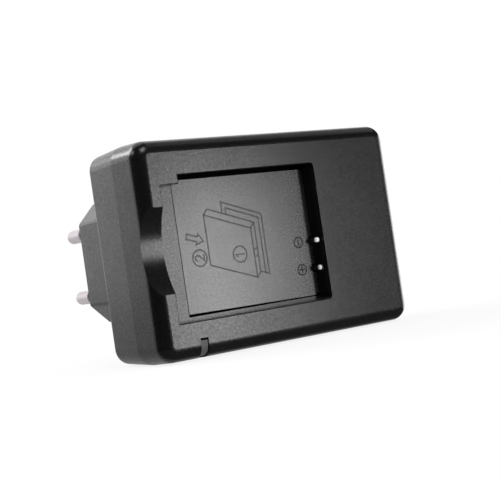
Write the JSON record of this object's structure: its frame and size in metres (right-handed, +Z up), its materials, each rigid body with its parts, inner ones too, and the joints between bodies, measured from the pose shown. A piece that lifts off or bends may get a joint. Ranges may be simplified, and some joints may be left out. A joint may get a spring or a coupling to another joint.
{
  "type": "camera battery charger",
  "caption": "Plug-in charger with a shallow battery bay, thumb scoop and leaf contacts on its front and a two-pin mains plug on its back.",
  "frame": {"origin": "under the middle of the charger's box, on the surface its long lower side stands on", "axes": "+X along the length, away from the plug end; front with the battery bay towards -Y, pins towards +Y; +Z up"},
  "size_m": [0.085, 0.0622, 0.0587],
  "materials": {
    "case_plastic": "moulded, fine satin texture",
    "plate_plastic": "moulded, fine satin texture, printed",
    "contact_nickel": "bright nickel plate",
    "pin_nickel": "satin nickel plate",
    "sleeve_plastic": "satin",
    "light_pipe": "translucent, slightly frosted",
    "led_resin": "clear resin",
    "board_laminate": "solder resist",
    "screw_steel": "zinc plate",
    "lead_brown": "wire insulation",
    "lead_blue": "wire insulation",
    "ferrite": "sintered",
    "bobbin_plastic": "moulded",
    "winding_tape": "polyester tape over copper wire",
    "capacitor_film": "shrink film",
    "ceramic_blue": "dipped resin",
    "fuse_coating": "dipped coating",
    "package_epoxy": "moulded epoxy"
  },
  "bodies": {
    "root": {"front_cover": "case_plastic", "rear_cover": "case_plastic", "battery_plate": "plate_plastic", "contact_negative": "contact_nickel", "contact_positive": "contact_nickel", "light_pipe": "light_pipe", "charge_led": "led_resin", "circuit_board": "board_laminate", "case_screws": "screw_steel", "plug_pin_live": "pin_nickel", "plug_pin_neutral": "pin_nickel", "pin_sleeve_live": "sleeve_plastic", "pin_sleeve_neutral": "sleeve_plastic", "pin_lead_live": "lead_brown", "pin_lead_neutral": "lead_blue", "transformer_core": "ferrite", "transformer_bobbin": "bobbin_plastic", "transformer_winding": "winding_tape", "mains_capacitor": "capacitor_film", "output_capacitor": "capacitor_film", "noise_capacitor": "ceramic_blue", "fuse_resistor": "fuse_coating", "bridge_rectifier": "package_epoxy", "control_chip": "package_epoxy", "switch_transistor": "package_epoxy"}
  },
  "joints": []
}
